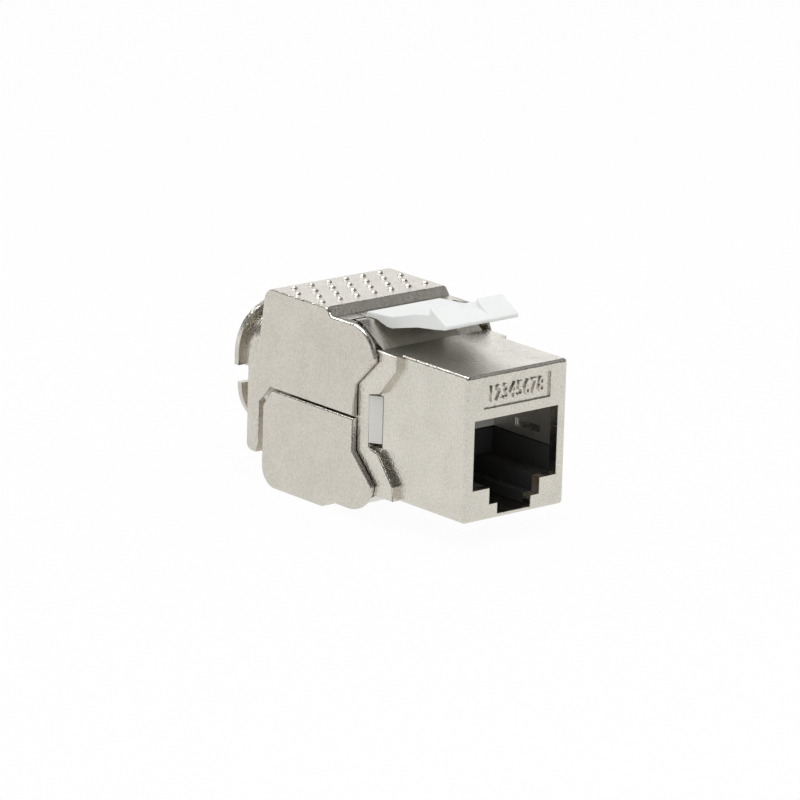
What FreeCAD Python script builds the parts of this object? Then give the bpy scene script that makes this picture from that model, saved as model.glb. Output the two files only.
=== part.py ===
import FreeCAD, Part
import math
import os
import Sketcher
from FreeCAD import Placement, Rotation, Vector

# A shielded, tool-less keystone jack. Millimetres. +X is right when the plug opening is
# faced, +Y runs from the front face to the cable, +Z is up. The origin is the middle of
# the lower front edge, which sits on the lower edge of a keystone opening.

SIZES = {
    # Front block and its plug opening
    "block_width": 14.5,
    "block_height": 16.6,
    "edge_round": 0.4,
    "front_wall": 1.2,
    "port_width": 12.1,
    "port_top": 11.45,
    "port_floor": 3.6,
    "key_width": 7.2,
    "key_floor": 1.75,
    "clip_width": 4.8,
    "clip_floor": 0.5,
    "port_depth": 11.6,
    "cavity_wall": 0.8,
    "cavity_roof": 1.5,
    "label_width": 9.6,
    "label_drop": 1.05,
    "label_height": 2.9,
    "label_depth": 0.3,
    "catch_front": 9.4,
    "catch_length": 1.6,
    "catch_width": 8.0,
    "catch_drop": 0.8,
    "catch_root": 0.3,
    # Raised band round the sides, given from the mid-plane up and down
    "band_proud": 0.85,
    "band_front": 11.1,
    "band_waist": 13.8,
    "band_knee_high": 6.65,
    "band_knee_low": 3.4,
    "window_front": 13.9,
    "window_rear": 16.6,
    "window_half": 3.0,
    "window_lip": 15.5,
    "band_round": 0.2,
    "band_rear": 17.9,
    "band_rear_end": 14.35,
    # Rear frame and decks
    "ramp_foot": 14.3,
    "ramp_run": 4.0,
    "deck_rise": 2.3,
    "deck_rear": 19.2,
    "tongue_rear": 21.45,
    "tongue_half": 5.35,
    "tongue_depth": 2.5,
    "frame_rear": 20.3,
    "frame_step": 1.2,
    "frame_wall": 1.1,
    "frame_floor": 1.6,
    # Wing hinges
    "pivot_back": 17.9,
    "pivot_drop": 3.9,
    "pin_radius": 1.0,
    "pin_inner": 6.25,
    "pin_fit": 0.03,
    "hinge_fit": 0.06,
    # Wings
    "wing_skin": 0.55,
    "wing_wall": 1.15,
    "wing_gap": 0.1,
    "seam_gap": 0.2,
    "wing_front": 17.36,
    "wing_knee": 3.8,
    "wing_nose": 7.06,
    "wing_boss": 1.9,
    "wing_core_front": 18.3,
    "plate_front": 19.55,
    "plate_wall": 0.8,
    "step_foot": 21.6,
    "step_run": 0.8,
    "step_rise": 0.9,
    "rear_wall": 1.0,
    "upper_top_rear": 33.2,
    "upper_rear": 34.05,
    "seam_rear": 31.85,
    "leg_front": 34.0,
    "leg_rear": 36.0,
    "leg_toe": 34.4,
    "lower_rear": 33.2,
    "lower_seam_rear": 31.6,
    # Heights on the wings, from the mid-plane
    "upper_bend": 5.8,
    "shoulder_low": 2.5,
    "tab_knee": 1.9,
    "leg_knee": 6.7,
    "leg_bottom": 8.0,
    "leg_round": 0.9,
    "lower_knee": 2.1,
    "upper_round": 1.5,
    "lower_round": 2.4,
    "notch_half": 5.5,
    "rib_thick": 1.0,
    "rib_spread": 3.0,
    "rib_front": 25.0,
    "rib_rear": 30.0,
    "rib_clear": 0.25,
    # Cable collar
    "collar_bore": 4.1,
    "collar_neck": 4.85,
    "collar_flange": 5.65,
    "flange_thick": 0.7,
    "collar_rise": 1.6,
    "collar_sink": 1.9,
    "upper_collar_end": 0.1,
    "lower_collar_end": 1.8,
    "upper_collar_rear": 42.15,
    "lower_collar_rear": 41.5,
    # Grip domes
    "dome_radius": 0.36,
    "dome_height": 0.2,
    "dome_pitch": 2.5,
    "dome_row": 2.15,
    "dome_first": 24.6,
    # Panel latch
    "latch_half": 5.3,
    "latch_root_half": 4.6,
    "latch_pivot_back": 18.2,
    "latch_pivot_drop": 1.3,
    "latch_bead": 0.75,
    "latch_fit": 0.08,
    "latch_stem": 0.45,
    "latch_slot_front": 17.0,
    "latch_rear": 19.5,
    "latch_lift": 0.6,
    "latch_bend": 15.2,
    "latch_crest": 11.6,
    "latch_root_thick": 1.0,
    "latch_bend_rise": 0.35,
    "latch_crest_rise": 1.45,
    "latch_neck_rise": 1.85,
    "latch_nose_rise": 1.15,
    "latch_nose_low": 0.7,
    "latch_nose_length": 1.7,
    "latch_under_rise": 0.4,
    "tooth_rear": 9.0,
    "tooth_rise": 2.8,
    "tooth_gap_half": 1.4,
    "latch_tip": 6.2,
    # Plug contacts
    "contact_width": 0.36,
    "contact_thick": 0.3,
    "contact_pitch": 1.02,
    "contact_depth": 1.9,
    "contact_bend": 3.6,
    "contact_corner": 0.6,
    "contact_drop": 1.0,
    "contact_tip": 9.4,
    "contact_fall": 5.0,
    "comb_front": 4.4,
    "comb_height": 3.4,
    "comb_slot": 0.6,
    "comb_drop": 5.0,
    "back_wall": 0.9,
    # Liner parts in the plug opening
    "liner_gap": 0.05,
    "liner_wall": 0.3,
    "liner_high": 6.5,
    "shield_low": 6.6,
    "shield_wall": 0.2,
    "shield_gap": 0.05,
    "shield_slot_front": 3.1,
    "shield_slot_rear": 7.2,
    "shield_slot_low": 7.4,
    "shield_slot_high": 8.4,
    # Circuit board, contact carrier and wire manager
    "board_gap": 0.1,
    "board_thick": 1.0,
    "board_margin": 0.2,
    "carrier_rear": 17.4,
    "carrier_snap": 0.05,
    "window_slit": 0.5,
    "tower_rear": 23.8,
    "tower_width": 2.4,
    "tower_height": 3.2,
    "tower_pitch": 3.0,
    "tower_offset": 3.7,
    "tower_slot": 0.9,
    "tower_slot_front": 19.2,
    "blade_width": 1.6,
    "blade_thick": 0.4,
    "blade_rear": 23.3,
    "blade_gap": 0.3,
    "blade_gap_front": 20.0,
    "blade_tail": 0.5,
    "blade_fit": 0.05,
    "tail_fit": 0.06,
    "tail_out": 0.4,
    "manager_rear": 31.0,
    "manager_gap": 0.1,
    "groove_width": 1.2,
    "groove_depth": 1.6,
    "cable_bore": 3.3,
    "cable_bore_front": 26.0,
}

doc = FreeCAD.newDocument("KeystoneJack")
sheet = doc.addObject("Spreadsheet::Sheet", "Sizes")


class Size:
    """A length that carries its number in millimetres and its formula on the sheet."""

    def __init__(self, number, formula):
        self.number = number
        self.formula = formula

    def joined(self, other, sign, number):
        return Size(number, "(%s %s %s)" % (self.formula, sign, other.formula))

    def __add__(self, other):
        other = length(other)
        return self.joined(other, "+", self.number + other.number)

    def __sub__(self, other):
        other = length(other)
        return self.joined(other, "-", self.number - other.number)

    def __mul__(self, other):
        other = length(other)
        return self.joined(other, "*", self.number * other.number)

    def __truediv__(self, other):
        other = length(other)
        return self.joined(other, "/", self.number / other.number)

    def __neg__(self):
        return length(0) - self

    def __radd__(self, other):
        return length(other) + self

    def __rsub__(self, other):
        return length(other) - self

    def __rmul__(self, other):
        return length(other) * self


def length(value):
    """A plain number or a Size, as a Size."""
    if isinstance(value, Size):
        return value
    return Size(value, "%g" % value)


def leg(hypotenuse, side):
    """The other leg of a right triangle."""
    squares = hypotenuse * hypotenuse - side * side
    return Size(math.sqrt(squares.number), "sqrt(%s)" % squares.formula)


def fill_sheet():
    for row, (alias, value) in enumerate(SIZES.items(), start=1):
        sheet.set("A%d" % row, alias.replace("_", " "))
        sheet.set("B%d" % row, "%g" % value)
        sheet.setAlias("B%d" % row, alias)
    doc.recompute()


class Sheet:
    """The driving sizes, read by name."""

    def __getattr__(self, alias):
        return Size(SIZES[alias], "Sizes." + alias)


S = Sheet()
fill_sheet()

# Sizes worked out from the driving ones
MID = S.block_height / 2
BLOCK_HALF = S.block_width / 2
BAND_HALF = BLOCK_HALF + S.band_proud
CAVITY_TOP = S.block_height - S.cavity_roof
DECK = S.block_height + S.deck_rise
UPPER_PIVOT = DECK - S.pivot_drop
LOWER_PIVOT = S.pivot_drop - S.deck_rise
WING_TOP = DECK + S.step_rise
UPPER_SEAM = MID + S.seam_gap / 2
LOWER_SEAM = MID - S.seam_gap / 2
SKIN_INNER = BAND_HALF + S.wing_gap
WING_HALF = SKIN_INNER + S.wing_skin
WING_INNER = WING_HALF - S.wing_wall
CAVITY_HALF = BLOCK_HALF - S.cavity_wall
FRAME_HALF = BLOCK_HALF - S.frame_wall
BOARD_FRONT = S.port_depth + S.board_gap
BOARD_REAR = BOARD_FRONT + S.board_thick
CARRIER_FRONT = BOARD_REAR + S.board_gap
CARRIER_HALF = FRAME_HALF - S.liner_gap
CARRIER_LOW = S.frame_floor + S.liner_gap
CARRIER_HIGH = CAVITY_TOP - S.liner_gap
LATCH_TOP = DECK + S.latch_lift
LATCH_PIVOT = DECK - S.latch_pivot_drop
COMB_LOW = CARRIER_HIGH - S.comb_height
CONTACT_RUN = CAVITY_TOP - S.contact_depth
TOWER_ROWS = {"upper": MID + S.tower_offset, "lower": MID - S.tower_offset}
TOWER_STEPS = (-1.5, -0.5, 0.5, 1.5)
GRIP_ROWS = 4
GRIP_STEPS = 6
DOME_SLOPE = 45


# Sketches and features -----------------------------------------------------------------

def new_body(label):
    body = doc.addObject("PartDesign::Body", label)
    body.Label = label
    return body


def plane_of(body, role):
    return [item for item in body.Origin.OriginFeatures if item.Role == role][0]


def new_sketch(body, role, level=0):
    """A sketch parallel to an origin plane, at a height along the plane's world axis."""
    level = length(level)
    sketch = body.newObject("Sketcher::SketchObject", body.Name + "_sketch")
    sketch.AttachmentSupport = [(plane_of(body, role), "")]
    sketch.MapMode = "FlatFace"
    outwards = -level if role == "XZ_Plane" else level
    sketch.AttachmentOffset = Placement(Vector(0, 0, outwards.number), Rotation())
    sketch.setExpression("AttachmentOffset.Base.z", outwards.formula)
    return sketch


def fix_point(sketch, geometry, end, across, up):
    """Ties a point of the sketch to its two coordinates."""
    for kind, value in (("DistanceX", across), ("DistanceY", up)):
        if value is None:
            continue
        index = sketch.addConstraint(
            Sketcher.Constraint(kind, -1, 1, geometry, end, value.number))
        sketch.setExpression("Constraints[%d]" % index, value.formula)


def arc_between(start, end, centre, turn):
    """The arc from start to end about a centre, anticlockwise when turn is positive."""
    radius = math.dist(start, centre)
    first = math.atan2(start[1] - centre[1], start[0] - centre[0])
    last = math.atan2(end[1] - centre[1], end[0] - centre[0])
    if turn < 0:
        first, last = last, first
    circle = Part.Circle(Vector(centre[0], centre[1], 0), Vector(0, 0, 1), radius)
    return Part.ArcOfCircle(circle, first, last if last > first else last + 2 * math.pi)


def outline(sketch, corners):
    """A closed outline. A corner is (across, up), or (across, up, centre, turn) where an
    arc about that centre leads to the next corner."""
    corners = [tuple(length(v) for v in c[:2]) + tuple(c[2:]) for c in corners]
    spots = [(c[0].number, c[1].number) for c in corners]
    first = sketch.GeometryCount
    count = len(corners)
    ends = []
    for i, corner in enumerate(corners):
        here, there = spots[i], spots[(i + 1) % count]
        if len(corner) == 2:
            edge = Part.LineSegment(Vector(*here, 0), Vector(*there, 0))
            ends.append((1, 2))
        else:
            centre = tuple(length(v) for v in corner[2])
            edge = arc_between(here, there, (centre[0].number, centre[1].number), corner[3])
            ends.append((1, 2) if corner[3] > 0 else (2, 1))
        sketch.addGeometry(edge, False)
    for i in range(count):
        following = (i + 1) % count
        sketch.addConstraint(Sketcher.Constraint(
            "Coincident", first + i, ends[i][1], first + following, ends[following][0]))
    for i, corner in enumerate(corners):
        fix_point(sketch, first + i, ends[i][0], corner[0], corner[1])
        if len(corner) > 2:
            here, there = spots[i], spots[(i + 1) % count]
            steep = abs(there[1] - here[1]) > abs(there[0] - here[0])
            centre = tuple(length(v) for v in corner[2])
            fix_point(sketch, first + i, 3, centre[0] if steep else None,
                      None if steep else centre[1])


def box_outline(sketch, left, low, right, high):
    outline(sketch, [(left, low), (right, low), (right, high), (left, high)])


def circle(sketch, across, up, radius):
    across, up, radius = length(across), length(up), length(radius)
    index = sketch.addGeometry(Part.Circle(
        Vector(across.number, up.number, 0), Vector(0, 0, 1), radius.number), False)
    fix_point(sketch, index, 3, across, up)
    size = sketch.addConstraint(Sketcher.Constraint("Radius", index, radius.number))
    sketch.setExpression("Constraints[%d]" % size, radius.formula)


def is_flipped(sketch):
    """True where the sketch's normal points down its world axis, as on XZ_Plane."""
    return sketch.AttachmentSupport[0][0].Role == "XZ_Plane"


def extrude(body, kind, sketch, amount, towards):
    """Pads or pockets a sketch: towards +1 or -1 along its world axis, or 0 both ways."""
    amount = length(amount)
    feature = body.newObject("PartDesign::" + kind, body.Name + "_" + kind.lower())
    feature.Profile = sketch
    feature.Length = amount.number
    feature.setExpression("Length", amount.formula)
    if towards == 0:
        feature.SideType = "Symmetric"
    else:
        along_normal = (towards > 0) != is_flipped(sketch)
        feature.Reversed = along_normal if kind == "Pocket" else not along_normal
    doc.recompute()
    return feature


def pad(body, sketch, amount, towards=0):
    return extrude(body, "Pad", sketch, amount, towards)


def pocket(body, sketch, amount, towards=0):
    before = body.Shape.Volume
    feature = extrude(body, "Pocket", sketch, amount, towards)
    if body.Shape.Volume > before - 1e-4:
        raise RuntimeError("a pocket of %s cuts nothing" % body.Label)
    return feature


def mirrored(body, features, role="YZ_Plane"):
    mirror = body.newObject("PartDesign::Mirrored", body.Name + "_mirror")
    mirror.Originals = features
    mirror.MirrorPlane = (plane_of(body, role), "")
    body.Tip = mirror
    doc.recompute()
    return mirror


def row_of(body, features, axis, step, count):
    """Copies features in a row along an axis of an origin plane's sketch."""
    step = length(step)
    pattern = body.newObject("PartDesign::LinearPattern", body.Name + "_row")
    pattern.Originals = features
    pattern.Direction = ([item for item in body.Origin.OriginFeatures
                          if item.Role == axis][0], "")
    pattern.Occurrences = count
    pattern.Length = step.number * (count - 1)
    pattern.setExpression("Length", "%s * %d" % (step.formula, count - 1))
    body.Tip = pattern
    doc.recompute()
    return pattern


def edges_through(shape, spots, reach=0.02):
    """Names of the edges whose middle lies at one of the spots, None standing for any."""
    names = []
    for number, edge in enumerate(shape.Edges, start=1):
        middle = edge.CenterOfMass
        for spot in spots:
            wanted = [None if v is None else length(v).number for v in spot]
            if all(w is None or abs(w - m) < reach for w, m in zip(wanted, middle)):
                names.append("Edge%d" % number)
                break
    return names


def rounded(body, spots, radius):
    """Rounds the edges of the body whose middles lie at the spots."""
    radius = length(radius)
    base = body.Tip
    names = edges_through(base.Shape, spots)
    if not names:
        raise RuntimeError("no edge to round on %s" % body.Label)
    fillet = body.newObject("PartDesign::Fillet", body.Name + "_round")
    fillet.Base = (base, names)
    fillet.Radius = radius.number
    fillet.setExpression("Radius", radius.formula)
    doc.recompute()
    return fillet


# Front housing -------------------------------------------------------------------------

def stepped_corners(half, top, bottom, grown):
    """The stepped outline of the plug way, from its upper left corner round."""
    key, clip = S.key_width / 2 + grown, S.clip_width / 2 + grown
    floor, step = S.port_floor - grown, S.key_floor - grown
    left = [(-half, top), (-half, floor), (-key, floor), (-key, step), (-clip, step),
            (-clip, bottom)]
    right = [(-across, up) for across, up in reversed(left)]
    return left + right


def housing_side():
    """Side view of the cast block with its ramps, decks and rear frame."""
    upper = [(S.ramp_foot, S.block_height), (S.ramp_foot + S.ramp_run, DECK),
             (S.deck_rear, DECK), (S.deck_rear, DECK - S.frame_step),
             (S.frame_rear, DECK - S.frame_step)]
    lower = [(back, S.block_height - up) for back, up in reversed(upper)]
    return [(0, 0), (0, S.block_height)] + upper + lower


def band_side():
    """Side view of the raised band, which runs round the side window."""
    front = [(S.band_front, S.block_height), (S.band_front, MID + S.band_knee_high),
             (S.band_waist, MID + S.band_knee_low), (S.window_lip, MID + S.window_half)]
    rear = [(S.band_rear_end, S.block_height), (S.band_rear_end, MID + S.wing_nose),
            (S.band_rear, MID + S.wing_knee)]
    below = [(back, S.block_height - up) for back, up in reversed(front)]
    behind = [(back, S.block_height - up) for back, up in rear]
    return front + below + behind + rear[::-1]


def build_front_housing():
    body = new_body("front_housing")
    side = new_sketch(body, "YZ_Plane")
    outline(side, housing_side())
    pad(body, side, S.block_width)
    tongue = new_sketch(body, "YZ_Plane")
    box_outline(tongue, S.deck_rear - S.frame_wall, DECK - S.tongue_depth, S.tongue_rear, DECK)
    pad(body, tongue, S.tongue_half * 2)
    band = new_sketch(body, "YZ_Plane", BLOCK_HALF)
    outline(band, band_side())
    mirrored(body, [pad(body, band, S.band_proud, 1)])
    rounded(body, [(BAND_HALF, None, None), (-BAND_HALF, None, None)], S.band_round)
    front_edges = [(0, 0, 0), (0, 0, S.block_height), (BLOCK_HALF, 0, MID), (-BLOCK_HALF, 0, MID)]
    long_edges = [(side_x, S.band_front / 2, up)
                  for side_x in (-BLOCK_HALF, BLOCK_HALF) for up in (0, S.block_height)]
    rounded(body, front_edges + long_edges, S.edge_round)
    catch = new_sketch(body, "YZ_Plane")
    outline(catch, [(S.catch_front, S.catch_root), (S.catch_front, 0),
                    (S.catch_front + S.catch_length / 2, -S.catch_drop),
                    (S.catch_front + S.catch_length, -S.catch_drop),
                    (S.catch_front + S.catch_length, S.catch_root)])
    pad(body, catch, S.catch_width)
    cut_port(body)
    cut_rear(body)
    return body


def cut_port(body):
    port = new_sketch(body, "XZ_Plane")
    outline(port, stepped_corners(S.port_width / 2, S.port_top, S.clip_floor, length(0)))
    pocket(body, port, S.port_depth, 1)
    cavity = new_sketch(body, "XZ_Plane", S.front_wall)
    outline(cavity, stepped_corners(CAVITY_HALF, CAVITY_TOP, S.clip_floor,
                                    S.liner_wall + S.liner_gap * 2))
    pocket(body, cavity, S.port_depth - S.front_wall, 1)
    label = new_sketch(body, "XZ_Plane")
    label_high = S.block_height - S.label_drop
    box_outline(label, -S.label_width / 2, label_high - S.label_height,
                S.label_width / 2, label_high)
    pocket(body, label, S.label_depth, 1)


def cut_rear(body):
    rear = new_sketch(body, "XZ_Plane", S.port_depth - S.liner_gap)
    box_outline(rear, -FRAME_HALF, S.frame_floor, FRAME_HALF, CAVITY_TOP)
    pocket(body, rear, S.frame_rear, 1)
    window = new_sketch(body, "YZ_Plane")
    box_outline(window, S.window_front, MID - S.window_half, S.window_rear,
                MID + S.window_half)
    pocket(body, window, S.block_width)
    slot = new_sketch(body, "YZ_Plane")
    reach = S.latch_stem + S.latch_fit
    outline(slot, [(S.latch_pivot_back - reach, LATCH_PIVOT),
                   (S.latch_pivot_back + reach, LATCH_PIVOT),
                   (S.latch_pivot_back + reach, DECK + 1),
                   (S.latch_slot_front, DECK + 1)])
    pocket(body, slot, (S.latch_root_half + S.latch_fit) * 2)
    bore = new_sketch(body, "YZ_Plane")
    circle(bore, S.latch_pivot_back, LATCH_PIVOT, S.latch_bead + S.latch_fit)
    pocket(body, bore, (S.latch_root_half + S.latch_fit) * 2)
    pins = new_sketch(body, "YZ_Plane")
    circle(pins, S.pivot_back, UPPER_PIVOT, S.pin_radius + S.pin_fit)
    circle(pins, S.pivot_back, LOWER_PIVOT, S.pin_radius + S.pin_fit)
    pocket(body, pins, S.block_width + 1)


# Wings ---------------------------------------------------------------------------------

def flipped(points):
    """The same points mirrored about the mid-plane, in the opposite order."""
    return [(back, S.block_height - up) for back, up in reversed(points)]


def wing_nose_corner():
    """Where the slanted front edge of a cheek meets its round nose, above the mid-plane."""
    height = MID + S.wing_nose
    return S.pivot_back - leg(S.pivot_drop, height - UPPER_PIVOT), height


def upper_cheek():
    """Side view of the upper wing: round nose, ledge, step, rear shoulder and tab."""
    pivot = (S.pivot_back, UPPER_PIVOT)
    nose_back, nose_up = wing_nose_corner()
    drop = S.upper_bend - S.shoulder_low
    out = S.leg_rear - S.upper_rear
    shoulder = ((S.upper_rear + S.leg_rear) / 2 - drop * drop / (out * 2), MID + S.shoulder_low)
    foot = MID - S.leg_bottom
    ankle = (S.leg_rear - S.leg_round, foot + S.leg_round)
    return [
        (S.wing_front, UPPER_SEAM), (S.wing_front, MID + S.wing_knee),
        (nose_back, nose_up, pivot, -1), (S.pivot_back, DECK),
        (S.step_foot, DECK), (S.step_foot + S.step_run, WING_TOP),
        (S.upper_top_rear, WING_TOP), (S.upper_rear, MID + S.upper_bend, shoulder, -1),
        (S.leg_rear, MID + S.shoulder_low), (S.leg_rear, foot + S.leg_round, ankle, -1),
        (S.leg_rear - S.leg_round, foot), (S.leg_toe, foot),
        (S.leg_front, MID - S.leg_knee),
        (S.leg_front, MID - S.tab_knee), (S.seam_rear, UPPER_SEAM)]


def lower_cheek():
    """Side view of the lower wing."""
    pivot = (S.pivot_back, LOWER_PIVOT)
    nose_back, nose_up = wing_nose_corner()
    nose_low = S.block_height - nose_up
    bottom = S.block_height - WING_TOP
    return [
        (S.wing_front, LOWER_SEAM), (S.wing_front, MID - S.wing_knee),
        (nose_back, nose_low, pivot, 1), (S.pivot_back, -S.deck_rise),
        (S.step_foot, -S.deck_rise), (S.step_foot + S.step_run, bottom),
        (S.lower_rear, bottom), (S.lower_rear, MID - S.lower_knee),
        (S.lower_seam_rear, LOWER_SEAM)]


def wing_core(corners, seam, deck):
    """The same cheek without its nose, for the thicker inner layer behind the band."""
    front = S.wing_core_front
    return [(front, seam), (front, deck)] + [c for c in corners[4:]]


def shell_side(top_rear, bend_rear, bend, seam):
    """Side view of the upper wing's plate and rear wall."""
    wall, plate = S.rear_wall, S.plate_wall
    undercut = S.pivot_back + leg(
        Size(math.hypot((S.plate_front - S.pivot_back).number, S.pivot_drop.number),
             "sqrt((%s)^2 + (%s)^2)" % ((S.plate_front - S.pivot_back).formula,
                                       S.pivot_drop.formula)), S.pivot_drop - plate)
    return [
        (S.plate_front, DECK), (S.step_foot, DECK), (S.step_foot + S.step_run, WING_TOP),
        (top_rear, WING_TOP), (bend_rear, bend), (bend_rear, seam),
        (bend_rear - wall, seam), (bend_rear - wall, bend), (top_rear - wall, WING_TOP - wall),
        (S.step_foot + S.step_run + plate / 2, WING_TOP - wall),
        (S.step_foot + plate, DECK - plate), (undercut, DECK - plate)]


def build_wing_shell(body, cheek, pivot, seam, deck, plate):
    """Cheeks, boss, plate and rear wall that both wings share."""
    skin = new_sketch(body, "YZ_Plane", SKIN_INNER)
    outline(skin, cheek)
    parts = [pad(body, skin, S.wing_skin, 1)]
    core = new_sketch(body, "YZ_Plane", WING_INNER)
    outline(core, wing_core(cheek, seam, deck))
    parts.append(pad(body, core, WING_HALF - WING_INNER - S.wing_skin / 2, 1))
    boss = new_sketch(body, "YZ_Plane", WING_INNER)
    circle(boss, S.pivot_back, pivot, S.wing_boss)
    parts.append(pad(body, boss, WING_HALF - WING_INNER - S.wing_skin / 2, 1))
    shell = new_sketch(body, "YZ_Plane")
    outline(shell, plate)
    pad(body, shell, (WING_INNER + S.wing_skin) * 2)
    mirrored(body, parts)


def bore_bosses(body, pivot):
    """Blind bearing holes for the hinge pins, open towards the middle."""
    hole = new_sketch(body, "YZ_Plane")
    circle(hole, S.pivot_back, pivot, S.pin_radius + S.hinge_fit)
    pocket(body, hole, SKIN_INNER * 2)


def collar(body, height, free_end, front, rear, upright):
    """Half a cable collar: a neck with a flange, open towards the other half."""
    turn = -1 if upright else 1
    for radius, start in ((S.collar_neck, front), (S.collar_flange, rear - S.flange_thick)):
        ring = new_sketch(body, "XZ_Plane", start)
        outline(ring, [(-radius, free_end), (-radius, height, (0, height), turn),
                       (radius, height), (radius, free_end)])
        pad(body, ring, rear - start, 1)


def collar_bore(body, height, beyond, upright):
    """The half-round cable way through the rear wall and the collar."""
    turn = -1 if upright else 1
    radius = S.collar_bore
    bore = new_sketch(body, "XZ_Plane", S.manager_rear)
    outline(bore, [(-radius, beyond), (-radius, height, (0, height), turn),
                   (radius, height), (radius, beyond)])
    pocket(body, bore, S.upper_collar_rear, 1)


def grip_domes(body):
    """Staggered rows of low eight-sided bumps on the thumb area of the upper wing."""
    for row in range(GRIP_ROWS):
        half_steps = GRIP_STEPS - row % 2
        left = -S.dome_pitch / 2 * half_steps
        back = S.dome_first + S.dome_row * row
        sketch = new_sketch(body, "XY_Plane", WING_TOP)
        ring = [(math.cos(turn), math.sin(turn))
                for turn in (math.pi * (side + 0.5) / 4 for side in range(8))]
        outline(sketch, [(left + S.dome_radius * c, back + S.dome_radius * s)
                         for c, s in ring])
        bump = pad(body, sketch, S.dome_height, 1)
        bump.TaperAngle = -DOME_SLOPE
        doc.recompute()
        row_of(body, [bump], "X_Axis", S.dome_pitch, half_steps + 1)


def pressing_ribs(body, low, high):
    """Two ribs under the plate that hold the wire manager down."""
    ribs = new_sketch(body, "YZ_Plane", S.rib_spread)
    box_outline(ribs, S.rib_front, low, S.rib_rear, high)
    mirrored(body, [pad(body, ribs, S.rib_thick, 1)])


def build_upper_wing():
    body = new_body("upper_wing")
    plate = shell_side(S.upper_top_rear, S.upper_rear, MID + S.upper_bend, UPPER_SEAM)
    build_wing_shell(body, upper_cheek(), UPPER_PIVOT, UPPER_SEAM, DECK, plate)
    rounded(body, [(None, S.upper_top_rear, WING_TOP)], S.upper_round)
    axis = MID + S.collar_rise
    collar(body, axis, MID + S.upper_collar_end, S.upper_rear - S.rear_wall,
           S.upper_collar_rear, True)
    collar_bore(body, axis, MID - S.collar_rise, True)
    notch = new_sketch(body, "YZ_Plane")
    reach = S.step_foot - S.pivot_back
    sweep = Size(math.hypot(reach.number, S.pivot_drop.number),
                 "sqrt((%s)^2 + (%s)^2)" % (reach.formula, S.pivot_drop.formula))
    under = S.pivot_back + leg(sweep, S.pivot_drop - S.plate_wall)
    outline(notch, [(S.plate_front - 1, DECK - S.plate_wall), (under, DECK - S.plate_wall),
                    (S.step_foot, DECK), (S.step_foot, DECK + 1), (S.plate_front - 1, DECK + 1)])
    pocket(body, notch, S.notch_half * 2)
    pressing_ribs(body, CARRIER_HIGH + S.rib_clear, WING_TOP - S.rear_wall / 2)
    bore_bosses(body, UPPER_PIVOT)
    grip_domes(body)
    return body


def build_lower_wing():
    body = new_body("lower_wing")
    bottom = S.block_height - WING_TOP
    knee = MID + S.lower_knee
    upside = shell_side(S.lower_rear, S.lower_rear, (knee + WING_TOP) / 2, knee)
    plate = flipped(upside)
    build_wing_shell(body, lower_cheek(), LOWER_PIVOT, LOWER_SEAM, -S.deck_rise, plate)
    rounded(body, [(None, S.lower_rear, bottom)], S.lower_round)
    axis = MID - S.collar_sink
    collar(body, axis, MID - S.lower_collar_end, S.lower_rear - S.rear_wall,
           S.lower_collar_rear, False)
    collar_bore(body, axis, MID + S.collar_rise, False)
    pressing_ribs(body, bottom + S.rear_wall / 2, CARRIER_LOW - S.rib_clear)
    bore_bosses(body, LOWER_PIVOT)
    return body


def build_pin(label, side, pivot):
    """A stub pin, pressed into the frame, on which one cheek turns."""
    body = new_body(label)
    sketch = new_sketch(body, "YZ_Plane", S.pin_inner * side)
    circle(sketch, S.pivot_back, pivot, S.pin_radius)
    pad(body, sketch, SKIN_INNER - S.wing_gap - S.pin_inner, side)
    return body


# Panel latch ---------------------------------------------------------------------------

def build_panel_latch():
    """The sprung plastic lever whose two teeth snap behind the panel's edge."""
    body = new_body("panel_latch")
    side = new_sketch(body, "YZ_Plane")
    top = LATCH_TOP
    under = top - S.latch_root_thick
    outline(side, [
        (S.latch_rear, top), (S.latch_bend, top + S.latch_bend_rise),
        (S.latch_crest, top + S.latch_crest_rise), (S.tooth_rear, top + S.latch_neck_rise),
        (S.latch_tip, top + S.latch_nose_rise), (S.latch_tip, top + S.latch_nose_low),
        (S.latch_tip + S.latch_nose_length, top + S.latch_under_rise),
        (S.latch_crest - S.latch_stem, top), (S.latch_bend, under),
        (S.latch_slot_front - S.latch_root_thick, under),
        (S.latch_pivot_back - S.latch_stem, DECK + S.latch_fit),
        (S.latch_rear, DECK + S.latch_fit)])
    pad(body, side, S.latch_half * 2)
    stem = new_sketch(body, "YZ_Plane")
    box_outline(stem, S.latch_pivot_back - S.latch_stem, LATCH_PIVOT,
                S.latch_pivot_back + S.latch_stem, top - S.latch_bend_rise)
    pad(body, stem, S.latch_root_half * 2)
    bead = new_sketch(body, "YZ_Plane")
    circle(bead, S.latch_pivot_back, LATCH_PIVOT, S.latch_bead)
    pad(body, bead, S.latch_root_half * 2)
    tooth = new_sketch(body, "YZ_Plane", S.tooth_gap_half)
    outline(tooth, [(S.tooth_rear, top + S.latch_crest_rise), (S.tooth_rear, top + S.tooth_rise),
                    (S.latch_tip, top + S.latch_nose_rise),
                    (S.latch_tip + S.latch_stem, top + S.latch_nose_low)])
    mirrored(body, [pad(body, tooth, S.latch_half - S.tooth_gap_half, 1)])
    return body


# Plug contacts and liner ---------------------------------------------------------------

def contact_places():
    return [S.contact_pitch * (number - 3.5) for number in range(8)]


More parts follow.
